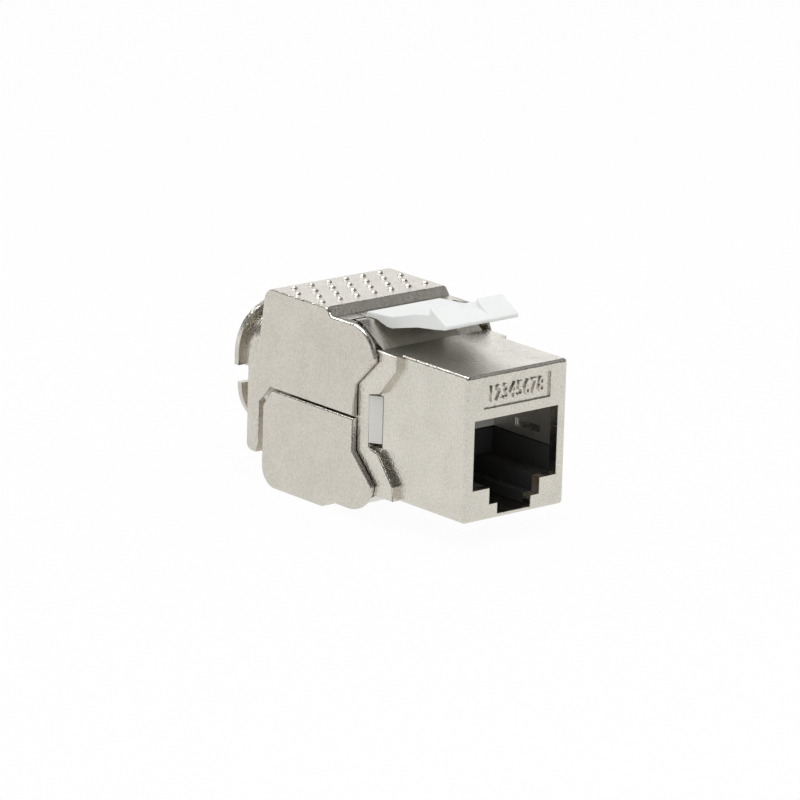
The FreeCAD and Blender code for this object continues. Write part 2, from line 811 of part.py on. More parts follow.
def build_contact(number, across):
    """A spring strip: a run in the comb, a bend, and a slanted free end."""
    body = new_body("contact_%d" % number)
    side = new_sketch(body, "YZ_Plane", across)
    thick = S.contact_thick
    low, high = CONTACT_RUN - thick / 2, CONTACT_RUN + thick / 2
    nose, corner = S.contact_bend, S.contact_corner
    drop, fall = CONTACT_RUN - S.contact_drop, CONTACT_RUN - S.contact_fall
    tail = BOARD_REAR + S.tail_out
    outline(side, [
        (tail, low), (tail, high), (nose + corner, high), (nose, high - corner),
        (nose, drop), (S.contact_tip, fall), (S.contact_tip + thick, fall),
        (S.contact_tip + thick, fall + thick), (nose + thick, drop + thick / 2),
        (nose + thick, high - corner - thick / 2), (nose + corner, low)])
    pad(body, side, S.contact_width)
    return body


def contact_holes(sketch):
    """Slots that the contact strips pass through."""
    half_width = S.contact_width / 2 + S.tail_fit
    half_thick = S.contact_thick / 2 + S.tail_fit
    for across in contact_places():
        box_outline(sketch, across - half_width, CONTACT_RUN - half_thick,
                    across + half_width, CONTACT_RUN + half_thick)


def build_contact_comb():
    """The moulded comb over the plug that holds the contacts apart."""
    body = new_body("contact_comb")
    half = CAVITY_HALF - S.liner_gap
    side = new_sketch(body, "YZ_Plane")
    drop_front = S.port_depth - S.back_wall
    drop_low = COMB_LOW - S.comb_drop
    outline(side, [(S.comb_front, COMB_LOW), (drop_front, COMB_LOW),
                   (drop_front, drop_low), (S.port_depth, drop_low),
                   (S.port_depth, CARRIER_HIGH), (S.comb_front, CARRIER_HIGH)])
    pad(body, side, half * 2)
    slots = new_sketch(body, "XZ_Plane", S.comb_front)
    for across in contact_places():
        box_outline(slots, across - S.comb_slot / 2, COMB_LOW - S.comb_slot,
                    across + S.comb_slot / 2, CONTACT_RUN + S.comb_slot / 2)
    pocket(body, slots, drop_front - S.comb_front - S.contact_thick, 1)
    holes = new_sketch(body, "XZ_Plane", S.comb_front)
    contact_holes(holes)
    pocket(body, holes, S.port_depth, 1)
    return body


def build_port_liner():
    """The black tray that carries the plug: a stepped floor, low side walls and a stop."""
    body = new_body("port_liner")
    front = S.front_wall + S.liner_gap
    block = new_sketch(body, "XZ_Plane", front)
    outline(block, stepped_corners(CAVITY_HALF - S.liner_gap, S.liner_high,
                                   S.clip_floor + S.liner_gap, S.liner_wall + S.liner_gap))
    pad(body, block, S.port_depth - S.liner_gap - front, 1)
    channel = new_sketch(body, "XZ_Plane", front)
    outline(channel, stepped_corners(S.port_width / 2, S.liner_high + 1, 0, length(0)))
    pocket(body, channel, S.port_depth - front - S.back_wall, 1)
    return body


def build_port_shield():
    """A folded sheet bridge that lines the upper side walls and earths the plug."""
    body = new_body("port_shield")
    half = CAVITY_HALF - S.liner_gap
    front = S.front_wall + S.liner_gap
    inner = half - S.shield_wall
    high = COMB_LOW - S.shield_gap
    fold = new_sketch(body, "XZ_Plane", front)
    outline(fold, [(-half, S.shield_low), (-inner, S.shield_low),
                   (-inner, high - S.shield_wall), (inner, high - S.shield_wall),
                   (inner, S.shield_low), (half, S.shield_low), (half, high), (-half, high)])
    pad(body, fold, S.port_depth - S.back_wall - S.liner_gap * 2 - front, 1)
    slot = new_sketch(body, "YZ_Plane")
    box_outline(slot, S.shield_slot_front, S.shield_slot_low, S.shield_slot_rear,
                S.shield_slot_high)
    pocket(body, slot, S.block_width)
    bridge = new_sketch(body, "YZ_Plane")
    box_outline(bridge, S.contact_bend - S.comb_slot, high - S.shield_wall * 2,
                S.port_depth, high + S.shield_gap)
    pocket(body, bridge, inner * 2)
    return body


# Board, carrier, blades and wire manager -----------------------------------------------

def blade_places():
    """Number, place across and height of each insulation-displacement blade."""
    places = []
    for row in ("upper", "lower"):
        for step in TOWER_STEPS:
            places.append((len(places) + 1, S.tower_pitch * step, TOWER_ROWS[row]))
    return places


def build_circuit_board():
    body = new_body("circuit_board")
    sketch = new_sketch(body, "XZ_Plane", BOARD_FRONT)
    box_outline(sketch, -FRAME_HALF + S.board_margin, S.frame_floor + S.board_margin,
                FRAME_HALF - S.board_margin, CAVITY_TOP - S.board_margin)
    pad(body, sketch, S.board_thick, 1)
    holes = new_sketch(body, "XZ_Plane", BOARD_FRONT)
    contact_holes(holes)
    half_tail = S.blade_tail / 2 + S.tail_fit
    half_thick = S.blade_thick / 2 + S.tail_fit
    for number, across, up in blade_places():
        box_outline(holes, across - half_tail, up - half_thick, across + half_tail,
                    up + half_thick)
    pocket(body, holes, S.board_thick, 1)
    return body


def build_idc_carrier():
    """The white moulding behind the board: a plate with snap bosses and slotted towers."""
    body = new_body("idc_carrier")
    plate = new_sketch(body, "XZ_Plane", CARRIER_FRONT)
    box_outline(plate, -CARRIER_HALF, CARRIER_LOW, CARRIER_HALF, CARRIER_HIGH)
    pad(body, plate, S.carrier_rear - CARRIER_FRONT, 1)
    snap = new_sketch(body, "XY_Plane", MID - S.window_half + S.window_slit)
    clear = S.carrier_snap * 2
    low, high = BLOCK_HALF - S.carrier_snap, BAND_HALF - clear
    front, lip = S.window_front + clear * 2, S.window_lip - S.carrier_snap
    rear = S.window_rear - clear
    outline(snap, [(-low, front), (low, front), (high, lip), (low, lip), (low, rear),
                   (-low, rear), (-low, lip), (-high, lip)])
    pad(body, snap, S.window_half * 2 - S.window_slit - clear, 1)
    towers = new_sketch(body, "XZ_Plane", S.carrier_rear)
    for number, across, up in blade_places():
        box_outline(towers, across - S.tower_width / 2, up - S.tower_height / 2,
                    across + S.tower_width / 2, up + S.tower_height / 2)
    pad(body, towers, S.tower_rear - S.carrier_rear, 1)
    wires = new_sketch(body, "XZ_Plane", S.tower_slot_front)
    for step in TOWER_STEPS:
        box_outline(wires, S.tower_pitch * step - S.tower_slot / 2, CARRIER_LOW,
                    S.tower_pitch * step + S.tower_slot / 2, CARRIER_HIGH)
    pocket(body, wires, S.tower_rear, 1)
    tails = new_sketch(body, "XZ_Plane", CARRIER_FRONT)
    reach = S.contact_pitch * 4
    box_outline(tails, -reach, CONTACT_RUN - S.tail_out, reach, CONTACT_RUN + S.tail_out)
    pocket(body, tails, S.tail_out + S.board_gap, 1)
    blades = new_sketch(body, "XZ_Plane", CARRIER_FRONT)
    half_width = S.blade_width / 2 + S.blade_fit
    half_thick = S.blade_thick / 2 + S.blade_fit
    for number, across, up in blade_places():
        box_outline(blades, across - half_width, up - half_thick, across + half_width,
                    up + half_thick)
    pocket(body, blades, S.tower_rear, 1)
    return body


def build_blade(number, across, up):
    """A forked blade with a solder tail that goes through the board."""
    body = new_body("idc_blade_%d" % number)
    sketch = new_sketch(body, "XY_Plane", up)
    half, tail, gap = S.blade_width / 2, S.blade_tail / 2, S.blade_gap / 2
    shoulder = CARRIER_FRONT + S.board_thick / 2
    front = BOARD_FRONT - S.board_gap / 2
    outline(sketch, [
        (across - tail, front), (across + tail, front), (across + tail, shoulder),
        (across + half, shoulder), (across + half, S.blade_rear),
        (across + gap * 2, S.blade_rear), (across + gap, S.blade_rear - S.blade_gap * 2),
        (across + gap, S.blade_gap_front), (across - gap, S.blade_gap_front),
        (across - gap, S.blade_rear - S.blade_gap * 2), (across - gap * 2, S.blade_rear),
        (across - half, S.blade_rear), (across - half, shoulder), (across - tail, shoulder)])
    pad(body, sketch, S.blade_thick)
    return body


def build_wire_manager():
    """The cap that lays four wires above and four below over the blades."""
    body = new_body("wire_manager")
    front = S.tower_rear + S.manager_gap * 3
    block = new_sketch(body, "XZ_Plane", front)
    box_outline(block, -CARRIER_HALF, CARRIER_LOW, CARRIER_HALF, CARRIER_HIGH)
    pad(body, block, S.manager_rear - front, 1)
    slab = new_sketch(body, "XZ_Plane", S.carrier_rear + S.manager_gap)
    reach = S.tower_offset - S.tower_height / 2 - S.manager_gap
    box_outline(slab, -CARRIER_HALF, MID - reach, CARRIER_HALF, MID + reach)
    pad(body, slab, S.manager_rear - S.carrier_rear - S.manager_gap * 2, 1)
    combs = new_sketch(body, "XZ_Plane", S.carrier_rear + S.manager_gap * 4)
    tooth = (S.tower_pitch - S.tower_width) / 2 - S.manager_gap
    for step in (-1, 0, 1):
        box_outline(combs, S.tower_pitch * step - tooth, CARRIER_LOW,
                    S.tower_pitch * step + tooth, CARRIER_HIGH)
    pad(body, combs, S.manager_rear - S.carrier_rear - S.manager_gap * 5, 1)
    grooves = new_sketch(body, "XZ_Plane", front - 1)
    for step in TOWER_STEPS:
        left = S.tower_pitch * step - S.groove_width / 2
        right = S.tower_pitch * step + S.groove_width / 2
        box_outline(grooves, left, CARRIER_HIGH - S.groove_depth, right, CARRIER_HIGH + 1)
        box_outline(grooves, left, CARRIER_LOW - 1, right, CARRIER_LOW + S.groove_depth)
    pocket(body, grooves, S.manager_rear, 1)
    bore = new_sketch(body, "XZ_Plane", S.cable_bore_front)
    circle(bore, 0, MID, S.cable_bore)
    pocket(body, bore, S.manager_rear, 1)
    return body


# Assembly ------------------------------------------------------------------------------

def build_all():
    pieces = [build_front_housing(), build_upper_wing(), build_lower_wing(),
              build_panel_latch(), build_port_liner(), build_port_shield(),
              build_contact_comb(), build_circuit_board(), build_idc_carrier(),
              build_wire_manager()]
    for height, pivot in (("upper", UPPER_PIVOT), ("lower", LOWER_PIVOT)):
        for name, side in (("left", -1), ("right", 1)):
            pieces.append(build_pin("%s_pin_%s" % (height, name), side, pivot))
    for number, across in enumerate(contact_places(), start=1):
        pieces.append(build_contact(number, across))
    for number, across, up in blade_places():
        pieces.append(build_blade(number, across, up))
    return pieces


def check_all(pieces):
    doc.recompute()
    for item in doc.Objects:
        if "Invalid" in item.State or "Error" in item.State:
            raise RuntimeError("%s failed: %s" % (item.Label, item.State))
    for piece in pieces:
        if piece.Shape.isNull() or not piece.Shape.isValid() or not piece.Shape.Solids:
            raise RuntimeError("%s has no valid solid" % piece.Label)
        print("%-16s %2d solid(s) %9.2f mm3" % (
            piece.Label, len(piece.Shape.Solids), piece.Shape.Volume))


def write_all(pieces):
    os.makedirs("parts", exist_ok=True)
    for piece in pieces:
        piece.Shape.exportStep("parts/%s.step" % piece.Label)


assembly = build_all()
check_all(assembly)
write_all(assembly)
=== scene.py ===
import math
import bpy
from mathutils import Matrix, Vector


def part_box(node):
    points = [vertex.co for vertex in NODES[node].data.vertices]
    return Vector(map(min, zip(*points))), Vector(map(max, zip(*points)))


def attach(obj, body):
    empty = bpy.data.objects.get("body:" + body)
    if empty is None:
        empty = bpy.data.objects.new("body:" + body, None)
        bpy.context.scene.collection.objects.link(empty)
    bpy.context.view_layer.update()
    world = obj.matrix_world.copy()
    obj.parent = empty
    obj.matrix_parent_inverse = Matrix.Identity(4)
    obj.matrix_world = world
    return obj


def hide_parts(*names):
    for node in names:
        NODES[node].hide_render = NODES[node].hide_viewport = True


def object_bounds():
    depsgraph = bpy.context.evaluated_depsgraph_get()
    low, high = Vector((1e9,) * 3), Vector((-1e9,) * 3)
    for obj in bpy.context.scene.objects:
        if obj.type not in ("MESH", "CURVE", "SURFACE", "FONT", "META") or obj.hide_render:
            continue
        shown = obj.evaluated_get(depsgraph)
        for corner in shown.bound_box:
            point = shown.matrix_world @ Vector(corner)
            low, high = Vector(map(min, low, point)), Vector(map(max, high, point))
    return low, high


bl_info = {
    "name": "Keystone jack",
    "version": (1, 0, 0),
    "blender": (4, 5, 0),
    "location": "View3D > Sidebar > Jack",
    "description": "Dresses the packed keystone jack: cast nickel, plastics, numbers and studio",
    "category": "Object",
}

import bpy
from bpy.props import FloatProperty, FloatVectorProperty, PointerProperty
from mathutils import Vector

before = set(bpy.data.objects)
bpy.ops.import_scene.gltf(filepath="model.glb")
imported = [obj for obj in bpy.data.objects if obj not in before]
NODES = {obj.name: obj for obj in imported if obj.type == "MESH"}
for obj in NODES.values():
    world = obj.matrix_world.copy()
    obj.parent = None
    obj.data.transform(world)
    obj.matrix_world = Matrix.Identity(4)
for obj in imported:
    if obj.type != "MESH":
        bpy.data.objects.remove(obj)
CAD_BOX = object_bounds()
MM = 0.001

# Numbers the pieces take from the frame ---------------------------------------------------

CONTACTS = 8
HOUSING_LOW, HOUSING_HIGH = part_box("front_housing")
UPPER_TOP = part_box("upper_wing")[1].z
CONTACT_PITCH = (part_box("contact_8")[0].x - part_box("contact_1")[0].x) / (CONTACTS - 1)

# How the solids' meshes are cleaned, rounded and shaded -----------------------------------

WELD_DISTANCE = 0.001 * MM
FLAT_ANGLE = math.radians(0.6)
SHARP_ANGLE = math.radians(35)
SMOOTH_ANGLE = math.radians(24)
NORMAL_WEIGHT = 80
EDGE_MARGIN = 0.02 * MM
CHEEK_MARGIN = 0.05 * MM
LATCH_REACH = 3.0 * MM
FINE_SEGMENTS, CAST_SEGMENTS = 2, 4

# Grip domes and contact numbers -----------------------------------------------------------

DOME_ROWS, DOMES_IN_ROW, DOME_SEGMENTS = 4, 7, 28
DOME_SINK = 0.02 * MM
DIGIT_NARROWING = 0.68

# Textures of the finishes -----------------------------------------------------------------

CAST_ROUGHNESS, DOME_ROUGHNESS = 0.14, 0.3
BRUSHED_STRETCH = (9000, 700, 9000)
BRUSHED_DEPTH = 0.004 * MM
SPARK_GRAIN = 0.09 * MM
SPARK_DEPTH = 0.004 * MM
PLASTIC_CLOUD = 2.5 * MM

# Studio: lengths in metres, ramp stops as (place, shade) ----------------------------------

FLOOR_SIZE = 3.0
FLOOR_DROP = 0.02 * MM
FLOOR_GREY = (0.93, 0.93, 0.93, 1)
FLOOR_MIRRORED = (0.93, 0.93, 0.92, 1)
FLOOR_CLEARNESS = 0.96
ROOF_RADIUS = 1.2
ROOF_RIM = 0.01
ROOF_SEGMENTS = 48
ROOF_STRENGTH = 2.5
ROOF_STOPS = ((0.13, 0.45), (0.24, 0.02), (0.5, 0.02), (0.6, 0.2), (0.76, 0.2),
              (0.83, 0.02))
SPOT_STOPS = ((0.9, 0), (0.95, 1))
SPOT_GAIN = 2.4
WORLD_TINT = (1.0, 0.995, 0.985, 1)
WORLD_STRENGTH = 0.62
LAMP_AIM = Vector((0, 18 * MM, 8 * MM))
LAMPS = (("key", (-0.10, -0.12, 0.42), 0.30, 0.75),
         ("fill", (0.34, -0.22, 0.20), 0.30, 0.15))
CAMERA_TURN, CAMERA_RISE, CAMERA_ROLL = (math.radians(v) for v in (40.70, 15.56, -1.71))
CAMERA_AWAY, CAMERA_ACROSS, CAMERA_BELOW = 621 * MM, 12.80 * MM, -12.13 * MM
CAMERA_SENSOR, CAMERA_LENS = 36, 255.08196
CAMERA_NEAR = 0.01


def length_of(name, default, description):
    return FloatProperty(name=name, description=description, default=default,
                         unit="LENGTH", precision=5)


def colour_of(name, default, description):
    return FloatVectorProperty(name=name, description=description, default=default,
                               subtype="COLOR", size=3, min=0, max=1)


class JackSizes(bpy.types.PropertyGroup):
    """Sizes of the small forms that the dressed pieces add."""

    cast_round: length_of("Cast edge", 0.28 * MM, "Rounding of the wings' outer edges")
    fine_round: length_of("Fine edge", 0.07 * MM, "Rounding of the plug opening's edges")
    latch_round: length_of("Latch edge", 0.14 * MM, "Rounding of the moulded latch")
    dome_radius: length_of("Dome radius", 0.42 * MM, "Radius of a grip dome at its foot")
    dome_height: length_of("Dome height", 0.24 * MM, "Height of a grip dome")
    dome_pitch: length_of("Dome pitch", 2.5 * MM, "Spacing of the domes in a row")
    dome_row: length_of("Dome rows", 2.15 * MM, "Spacing of the rows of domes")
    dome_first: length_of("First row", 24.6 * MM, "Where the first row of domes lies")
    bump_height: length_of("Bump height", 0.2 * MM, "Height of the bumps under the domes")
    digit_size: length_of("Digit size", 2.5 * MM, "Type size of the contact numbers")
    digit_relief: length_of("Digit relief", 0.2 * MM, "How far the numbers stand proud")
    label_rise: length_of("Label rise", 5.8 * MM, "Label middle above the jack's middle")
    label_depth: length_of("Label depth", 0.3 * MM, "Depth of the recess for the numbers")
    grain_size: length_of("Grain", 0.26 * MM, "Size of the casting's satin grain")


class JackColours(bpy.types.PropertyGroup):
    """Base colours of the finishes."""

    nickel: colour_of("Nickel", (0.76, 0.73, 0.66), "Satin nickel on the front casting")
    wing: colour_of("Wing", (0.705, 0.675, 0.605), "Satin nickel on the wing castings")
    sheet: colour_of("Sheet", (0.78, 0.77, 0.73), "Plated spring sheet")
    steel: colour_of("Steel", (0.60, 0.60, 0.60), "Ground steel pins")
    white: colour_of("White", (0.81, 0.81, 0.77), "Cool white of the moulded latch")
    # A darker copy of the latch's white: painted shade for the carrier seen in its side window
    # and for the wire manager.
    cream: colour_of("Cream", (0.74, 0.74, 0.70), "Duller white of the wire carrier")
    grey: colour_of("Grey", (0.33, 0.32, 0.30), "Grey moulded plastic")
    # Black of the port liner: partly the plastic's own colour, partly painted shade deep inside
    # the plug opening.
    black: colour_of("Black", (0.022, 0.020, 0.017), "Black moulded plastic")
    gold: colour_of("Gold", (0.83, 0.62, 0.25), "Gold plating on the contacts")
    tin: colour_of("Tin", (0.66, 0.65, 0.62), "Tin plating on the blades")
    board: colour_of("Board", (0.02, 0.12, 0.06), "Solder mask on the board")


# Shader trees ----------------------------------------------------------------------------

class Socket:
    """An output socket; Python's operators on it add Math nodes."""

    def __init__(self, tree, out):
        self.tree, self.out = tree, out

    def maths(self, operation, first, second):
        return self.tree.node("ShaderNodeMath", {"operation": operation},
                              {0: first, 1: second})

    def __add__(self, other):
        return self.maths("ADD", self, other)

    def __sub__(self, other):
        return self.maths("SUBTRACT", self, other)

    def __rsub__(self, other):
        return self.maths("SUBTRACT", other, self)

    def __mul__(self, other):
        return self.maths("MULTIPLY", self, other)

    def __truediv__(self, other):
        return self.maths("DIVIDE", self, other)

    def at_most(self, other):
        return self.maths("MINIMUM", self, other)

    __radd__ = __add__
    __rmul__ = __mul__


class Tree:
    """The node tree of a material or a world while it is being wired."""

    def __init__(self, owner):
        owner.use_nodes = True
        self.inner = owner.node_tree
        self.inner.nodes.clear()

    def node(self, kind, settings=None, inputs=None, output=0):
        made = self.inner.nodes.new(kind)
        for name, value in (settings or {}).items():
            if name == "stops":
                self.set_stops(made.color_ramp.elements, value)
            else:
                setattr(made, name, value)
        for key, value in (inputs or {}).items():
            if isinstance(value, Socket):
                self.inner.links.new(value.out, made.inputs[key])
            else:
                made.inputs[key].default_value = value
        return Socket(self, made.outputs[output]) if made.outputs else None

    @staticmethod
    def set_stops(elements, stops):
        while len(elements) < len(stops):
            elements.new(0.5)
        for element, (place, shade) in zip(elements, stops):
            element.position = place
            element.color = (shade, shade, shade, 1)

    def place(self):
        return self.node("ShaderNodeTexCoord", output="Object")

    def noise(self, size, detail=2.0):
        return self.node("ShaderNodeTexNoise", inputs={
            "Vector": self.place(), "Scale": 1 / size, "Detail": detail, "Roughness": 0.6})

    def bump(self, height, depth):
        return self.node("ShaderNodeBump", inputs={"Height": height, "Distance": depth})

    def tinted(self, colour, amount, factor):
        """The colour and a darker one, mixed by a factor."""
        full = (*colour, 1)
        dark = (*(channel * (1 - amount) for channel in colour), 1)
        return self.node("ShaderNodeMix", {"data_type": "RGBA"},
                         {0: factor, 6: full, 7: dark}, output=2)

    def surface(self, **inputs):
        named = {name.replace("_", " "): value for name, value in inputs.items()}
        shader = self.node("ShaderNodeBsdfPrincipled", inputs=named)
        self.finish(shader)

    def finish(self, shader):
        self.node("ShaderNodeOutputMaterial", inputs={"Surface": shader})


def cast_nickel(name, colour, grain, rough=CAST_ROUGHNESS):
    """Satin nickel over blasted zinc: a fine sparkling grain and faint cloudy patches."""
    material = bpy.data.materials.new(name)
    tree = Tree(material)
    fine = tree.noise(grain)
    coarse = tree.noise(grain * 2.6, 3.0)
    cloud = tree.noise(grain * 14)
    height = fine + coarse * 0.8
    tree.surface(
        Base_Color=tree.tinted(colour, 0.42, fine + cloud * 0.4 - 0.45),
        Metallic=1.0,
        Roughness=rough + coarse * 0.12 + cloud * 0.06,
        Normal=tree.bump(height, grain * 0.16))
    return material


def brushed(name, colour, rough):
    """Rolled or ground metal with fine lines along the part."""
    material = bpy.data.materials.new(name)
    tree = Tree(material)
    stretched = tree.node("ShaderNodeMapping", inputs={
        "Vector": tree.place(), "Scale": BRUSHED_STRETCH})
    lines = tree.node("ShaderNodeTexNoise", inputs={
        "Vector": stretched, "Scale": 1.0, "Detail": 2.0, "Roughness": 0.6})
    tree.surface(
        Base_Color=tree.tinted(colour, 0.15, lines),
        Metallic=1.0,
        Roughness=rough + lines * 0.12,
        Normal=tree.bump(lines, BRUSHED_DEPTH))
    return material


def moulded(name, colour, rough):
    """Moulded plastic with a light spark-eroded texture."""
    material = bpy.data.materials.new(name)
    tree = Tree(material)
    fine = tree.noise(SPARK_GRAIN)
    cloud = tree.noise(PLASTIC_CLOUD)
    tree.surface(
        Base_Color=tree.tinted(colour, 0.08, cloud),
        Roughness=rough + fine * 0.1,
        Normal=tree.bump(fine, SPARK_DEPTH))
    return material


# Meshes ----------------------------------------------------------------------------------

def choose(*objects):
    """Selects only these objects and makes the first one active."""
    bpy.ops.object.select_all(action="DESELECT")
    for item in objects:
        item.select_set(True)
    bpy.context.view_layer.objects.active = objects[0]


def wear(piece, material):
    piece.data.materials.clear()
    piece.data.materials.append(material)


def settle(piece):
    """Moves the piece's place, turn and scale into its mesh."""
    choose(piece)
    bpy.ops.object.transform_apply(location=True, rotation=True, scale=True)


def merged_copy(node, name):
    """A copy of a solid with its triangles joined and its flat faces made whole."""
    piece = bpy.data.objects.new(name, NODES[node].data.copy())
    bpy.context.scene.collection.objects.link(piece)
    choose(piece)
    bpy.ops.object.mode_set(mode="EDIT")
    bpy.ops.mesh.select_all(action="SELECT")
    bpy.ops.mesh.remove_doubles(threshold=WELD_DISTANCE)
    bpy.ops.mesh.dissolve_limited(angle_limit=FLAT_ANGLE)
    bpy.ops.mesh.select_all(action="DESELECT")
    bpy.ops.object.mode_set(mode="OBJECT")
    return piece


def round_edges(piece, width, segments, wanted):
    """Rounds the sharp edges whose two ends are both wanted."""
    choose(piece)
    bpy.ops.object.mode_set(mode="EDIT")
    bpy.ops.mesh.select_mode(type="EDGE")
    bpy.ops.mesh.select_all(action="DESELECT")
    bpy.ops.mesh.edges_select_sharp(sharpness=SHARP_ANGLE)
    bpy.ops.object.mode_set(mode="OBJECT")
    points = piece.data.vertices
    for edge in piece.data.edges:
        if edge.select:
            edge.select = all(wanted(points[i].co) for i in edge.vertices)
    # A face left selected would select all its edges again in edit mode.
    for item in (*points, *piece.data.polygons):
        item.select = False
    bpy.ops.object.mode_set(mode="EDIT")
    bpy.ops.mesh.bevel(offset=width, segments=segments, profile=0.5, affect="EDGES",
                       clamp_overlap=False, miter_outer="ARC")
    bpy.ops.mesh.select_all(action="DESELECT")
    bpy.ops.object.mode_set(mode="OBJECT")


def smooth(piece):
    """Smooth shading over the roundings, with flat faces kept flat."""
    choose(piece)
    bpy.ops.object.shade_smooth_by_angle(angle=SMOOTH_ANGLE)
    weighted = piece.modifiers.new("weighted", "WEIGHTED_NORMAL")
    weighted.keep_sharp = True
    weighted.weight = NORMAL_WEIGHT
    bpy.ops.object.modifier_apply(modifier=weighted.name)


def stand_for(piece, node, body, material):
    """Dresses the piece and lets it stand for a solid on its body."""
    wear(piece, material)
    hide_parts(node)
    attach(piece, body)


def finish_named(name):
    return bpy.data.materials[name]


# Operators -------------------------------------------------------------------------------

class JACK_OT_finishes(bpy.types.Operator):
    """Makes the finishes and gives each inner solid its own"""

    bl_idname = "jack.finishes"
    bl_label = "Finishes"

    def execute(self, context):
        sizes, colours = context.scene.jack_sizes, context.scene.jack_colours
        cast_nickel("cast_nickel", colours.nickel, sizes.grain_size)
        cast_nickel("wing_nickel", colours.wing, sizes.grain_size)
        # The domes take the front casting's lighter nickel instead of the wing's own: a painted
        # highlight. The higher roughness softens them.
        cast_nickel("dome_nickel_painted_highlight", colours.nickel, sizes.grain_size, DOME_ROUGHNESS)
        brushed("plated_sheet", colours.sheet, 0.3)
        brushed("ground_steel", colours.steel, 0.25)
        brushed("gold_plate", colours.gold, 0.2)
        brushed("tin_plate", colours.tin, 0.35)
        moulded("white_plastic", colours.white, 0.38)
        # The latch's white plastic made darker: painted shade.
        moulded("carrier_white_painted_shade", colours.cream, 0.42)
        moulded("grey_plastic", colours.grey, 0.45)
        # The black port liner is partly painted shade inside the plug opening.
        moulded("black_plastic", colours.black, 0.4)
        moulded("solder_mask", colours.board, 0.3)
        worn = {"port_liner": "black_plastic", "port_shield": "plated_sheet",
                "contact_comb": "grey_plastic", "circuit_board": "solder_mask",
                "idc_carrier": "carrier_white_painted_shade",
                "wire_manager": "carrier_white_painted_shade"}
        for node in NODES:
            if node.startswith("contact_") and node != "contact_comb":
                worn[node] = "gold_plate"
            elif node.startswith("idc_blade"):
                worn[node] = "tin_plate"
            elif "_pin_" in node:
                worn[node] = "ground_steel"
        for node, finish in worn.items():
            wear(NODES[node], finish_named(finish))
        return {"FINISHED"}


class JACK_OT_housing(bpy.types.Operator):
    """Rounds the edges of the cast front housing"""

    bl_idname = "jack.housing"
    bl_label = "Front housing"

    def execute(self, context):
        sizes = context.scene.jack_sizes
        piece = merged_copy("front_housing", "cast_housing")
        round_edges(piece, sizes.fine_round, FINE_SEGMENTS,
                    lambda p: p.y < HOUSING_LOW.y + EDGE_MARGIN)
        smooth(piece)
        stand_for(piece, "front_housing", "housing",
                  finish_named("cast_nickel"))
        return {"FINISHED"}


class JACK_OT_wings(bpy.types.Operator):
    """Rounds the edges of the two cast wings"""

    bl_idname = "jack.wings"
    bl_label = "Wings"

    def execute(self, context):
        sizes = context.scene.jack_sizes
        for node in ("upper_wing", "lower_wing"):
            piece = merged_copy(node, "cast_" + node)
            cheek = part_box(node)[1].x - CHEEK_MARGIN
            round_edges(piece, sizes.cast_round, CAST_SEGMENTS,
                        lambda p, cheek=cheek: abs(p.x) > cheek)
            smooth(piece)
            stand_for(piece, node, node, finish_named("wing_nickel"))
        return {"FINISHED"}


class JACK_OT_latch(bpy.types.Operator):
    """Rounds the edges of the moulded panel latch"""

    bl_idname = "jack.latch"
    bl_label = "Panel latch"

    def execute(self, context):
        sizes = context.scene.jack_sizes
        piece = merged_copy("panel_latch", "moulded_latch")
        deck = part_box("panel_latch")[1].z - LATCH_REACH
        round_edges(piece, sizes.latch_round, CAST_SEGMENTS, lambda p: p.z > deck)
        smooth(piece)
        stand_for(piece, "panel_latch", "latch",
                  finish_named("white_plastic"))
        return {"FINISHED"}


class JACK_OT_domes(bpy.types.Operator):
    """Rounds the grip bumps on the upper wing into smooth domes"""

    bl_idname = "jack.domes"
    bl_label = "Grip domes"

    def execute(self, context):
        sizes = context.scene.jack_sizes
        foot, rise = sizes.dome_radius, sizes.dome_height
        radius = (foot * foot + rise * rise) / (rise * 2)
        level = UPPER_TOP - sizes.bump_height
        domes = []
        for row in range(DOME_ROWS):
            count = DOMES_IN_ROW - row % 2
            for step in range(count):
                place = (sizes.dome_pitch * (step - (count - 1) / 2),
                         sizes.dome_first + sizes.dome_row * row, level + rise - radius)
                bpy.ops.object.select_all(action="DESELECT")
                bpy.ops.mesh.primitive_uv_sphere_add(
                    segments=DOME_SEGMENTS, ring_count=DOME_SEGMENTS, radius=radius,
                    location=place)
                dome = context.active_object
                bpy.ops.object.mode_set(mode="EDIT")
                bpy.ops.mesh.bisect(plane_co=(0, 0, level - DOME_SINK), plane_no=(0, 0, 1),
                                    clear_inner=True)
                bpy.ops.object.mode_set(mode="OBJECT")
                settle(dome)
                domes.append(dome)
        choose(*domes)
        bpy.ops.object.join()
        piece = domes[0]
        piece.name = "grip_domes"
        bpy.ops.object.shade_smooth()
        # Lighter nickel than the wing the domes stand on: painted highlight.
        wear(piece, finish_named("dome_nickel_painted_highlight"))
        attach(piece, "upper_wing")
        return {"FINISHED"}


class JACK_OT_numbers(bpy.types.Operator):
    """Raises the contact numbers in the recess over the plug opening"""

    bl_idname = "jack.numbers"
    bl_label = "Contact numbers"

    def execute(self, context):
        sizes = context.scene.jack_sizes
        digits = []
        middle = (HOUSING_LOW.z + HOUSING_HIGH.z) / 2 + sizes.label_rise
        for number in range(1, CONTACTS + 1):
            across = CONTACT_PITCH * (number - (CONTACTS + 1) / 2)
            bpy.ops.object.text_add(rotation=(math.pi / 2, 0, 0))
            digit = context.active_object
            digit.data.body = str(number)
            digit.data.size = sizes.digit_size
            digit.data.extrude = sizes.digit_relief / 2
            digit.data.bevel_depth = sizes.digit_relief / 6
            digit.data.align_x = "CENTER"
            digit.data.align_y = "CENTER"
            digit.scale.x = DIGIT_NARROWING
            digit.location = (across, sizes.label_depth - sizes.digit_relief / 2, middle)
            choose(digit)
            bpy.ops.object.convert(target="MESH")
            settle(digit)
            digits.append(digit)
        choose(*digits)
        bpy.ops.object.join()
        piece = digits[0]
        piece.name = "contact_numbers"
        wear(piece, finish_named("cast_nickel"))
        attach(piece, "housing")
        return {"FINISHED"}


